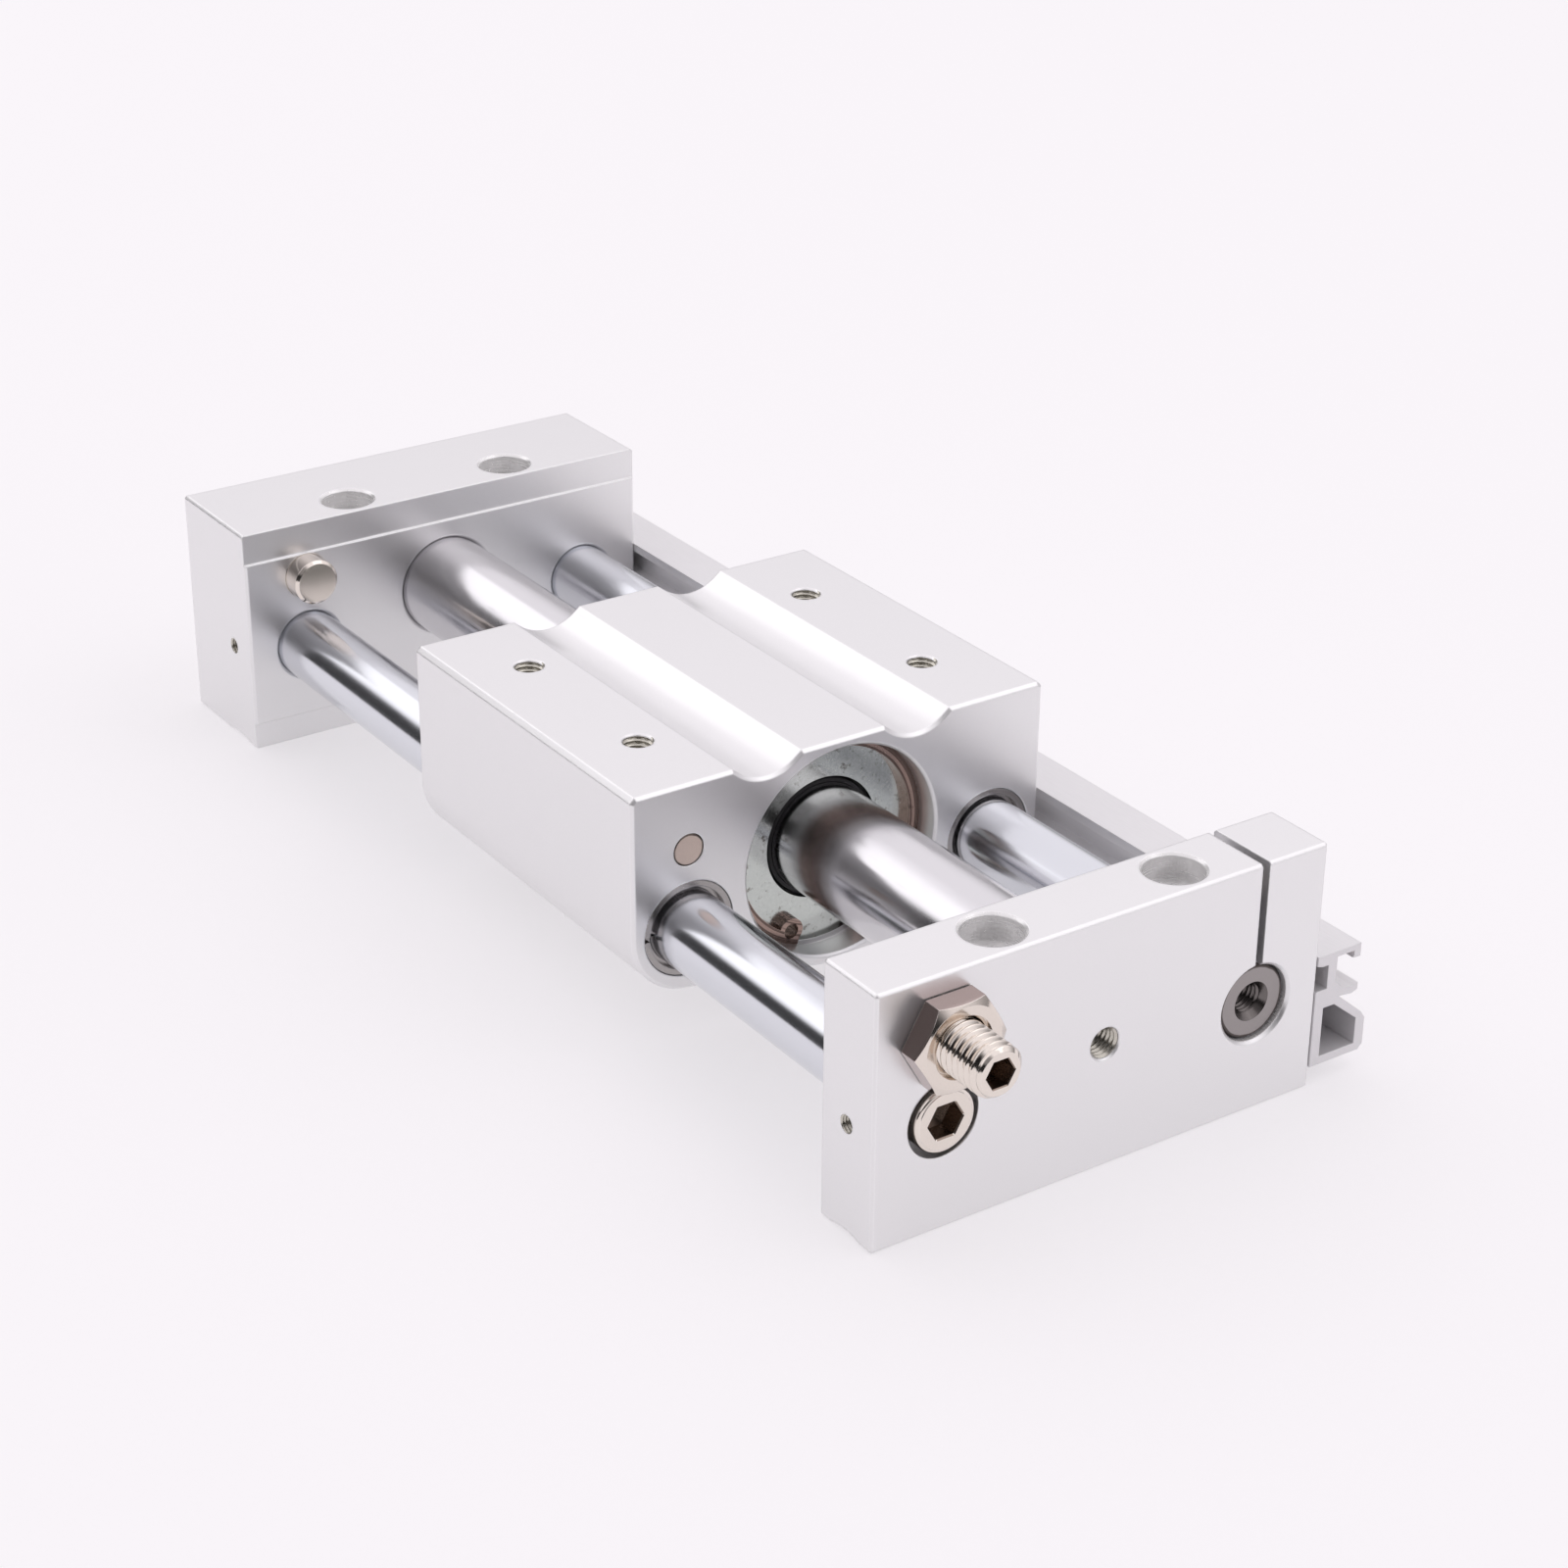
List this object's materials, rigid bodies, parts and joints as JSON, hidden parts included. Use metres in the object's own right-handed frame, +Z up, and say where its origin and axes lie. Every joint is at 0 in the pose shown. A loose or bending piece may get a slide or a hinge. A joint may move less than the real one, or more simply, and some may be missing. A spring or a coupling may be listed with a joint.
{
  "type": "magnetic rodless cylinder",
  "caption": "Magnetically coupled rodless air cylinder: a guided slide block runs on ground rods over a sealed tube between end plates with stop bolts and a switch rail.",
  "frame": {"origin": "centre of the pattern of base bolt holes, in the plane of the end plates' feet", "axes": "+X out of the front plate, which has the air ports; +Y towards the switch rail; +Z up, out of the slide block's table"},
  "size_m": [0.2326, 0.0882, 0.0412],
  "materials": {
    "anodised_aluminium": "satin clear anodised",
    "rail_aluminium": "matte extruded",
    "hard_chrome": "ground and hard chrome plated",
    "polished_stainless": "polished",
    "nickel_plate": "warm nickel plated",
    "zinc_plate": "zinc plated",
    "spring_steel": "phosphated",
    "bush_steel": "dark, sliding layer inside",
    "pin_steel": "turned",
    "rubber_black": "matte",
    "ring_plastic": "matte",
    "magnet_metal": "sintered, nickel coated",
    "yoke_steel": "turned",
    "piston_aluminium": "turned"
  },
  "bodies": {
    "end_frame": {"front_plate": "anodised_aluminium", "rear_plate": "anodised_aluminium", "cylinder_tube": "polished_stainless", "guide_rod_solid": "hard_chrome", "guide_rod_hollow": "hard_chrome", "rod_screw_front": "nickel_plate", "rod_screw_rear": "nickel_plate", "clamp_screw": "nickel_plate", "rod_set_screw": "nickel_plate", "passage_plug": "nickel_plate", "lock_nut_front": "nickel_plate", "lock_nut_rear": "nickel_plate", "tube_seal_front": "rubber_black", "tube_seal_rear": "rubber_black", "hollow_rod_seal": "rubber_black", "end_cushion_front": "rubber_black", "end_cushion_rear": "rubber_black", "switch_rail": "rail_aluminium", "rail_screws": "nickel_plate"},
    "slide": {"slide_block": "anodised_aluminium", "bush_rings": "bush_steel", "outer_yokes": "yoke_steel", "outer_magnets": "magnet_metal", "switch_magnet": "magnet_metal", "circlip_front": "spring_steel", "end_washer_front": "zinc_plate", "wear_carrier_front": "ring_plastic", "scraper_front": "rubber_black", "stop_pin_front": "pin_steel", "guide_bush_front_left": "bush_steel", "guide_bush_front_right": "bush_steel", "circlip_rear": "spring_steel", "end_washer_rear": "zinc_plate", "wear_carrier_rear": "ring_plastic", "scraper_rear": "rubber_black", "stop_pin_rear": "pin_steel", "guide_bush_rear_left": "bush_steel", "guide_bush_rear_right": "bush_steel"},
    "piston": {"inner_yokes": "yoke_steel", "inner_magnets": "magnet_metal", "piston_shaft": "yoke_steel", "piston_head_front": "piston_aluminium", "piston_seal_front": "rubber_black", "piston_band_front": "ring_plastic", "piston_head_rear": "piston_aluminium", "piston_seal_rear": "rubber_black", "piston_band_rear": "ring_plastic"},
    "front_stop": {"stop_bolt_front": "nickel_plate"},
    "rear_stop": {"stop_bolt_rear": "nickel_plate"}
  },
  "joints": [
    {"name": "slide_travel", "type": "slide", "parent": "end_frame", "child": "slide", "axis": [1, 0, 0], "range_m": [-0.05375, 0.04625]},
    {"name": "piston_travel", "type": "slide", "parent": "end_frame", "child": "piston", "axis": [1, 0, 0], "range_m": [-0.05375, 0.04625]},
    {"name": "front_stop_adjust", "type": "slide", "parent": "end_frame", "child": "front_stop", "axis": [1, 0, 0], "range_m": [0, 0.0042]},
    {"name": "rear_stop_adjust", "type": "slide", "parent": "end_frame", "child": "rear_stop", "axis": [-1, 0, 0], "range_m": [0, 0.0042]}
  ],
  "couplings": [
    {"joint": "piston_travel", "follows": "slide_travel", "ratio": 1}
  ]
}
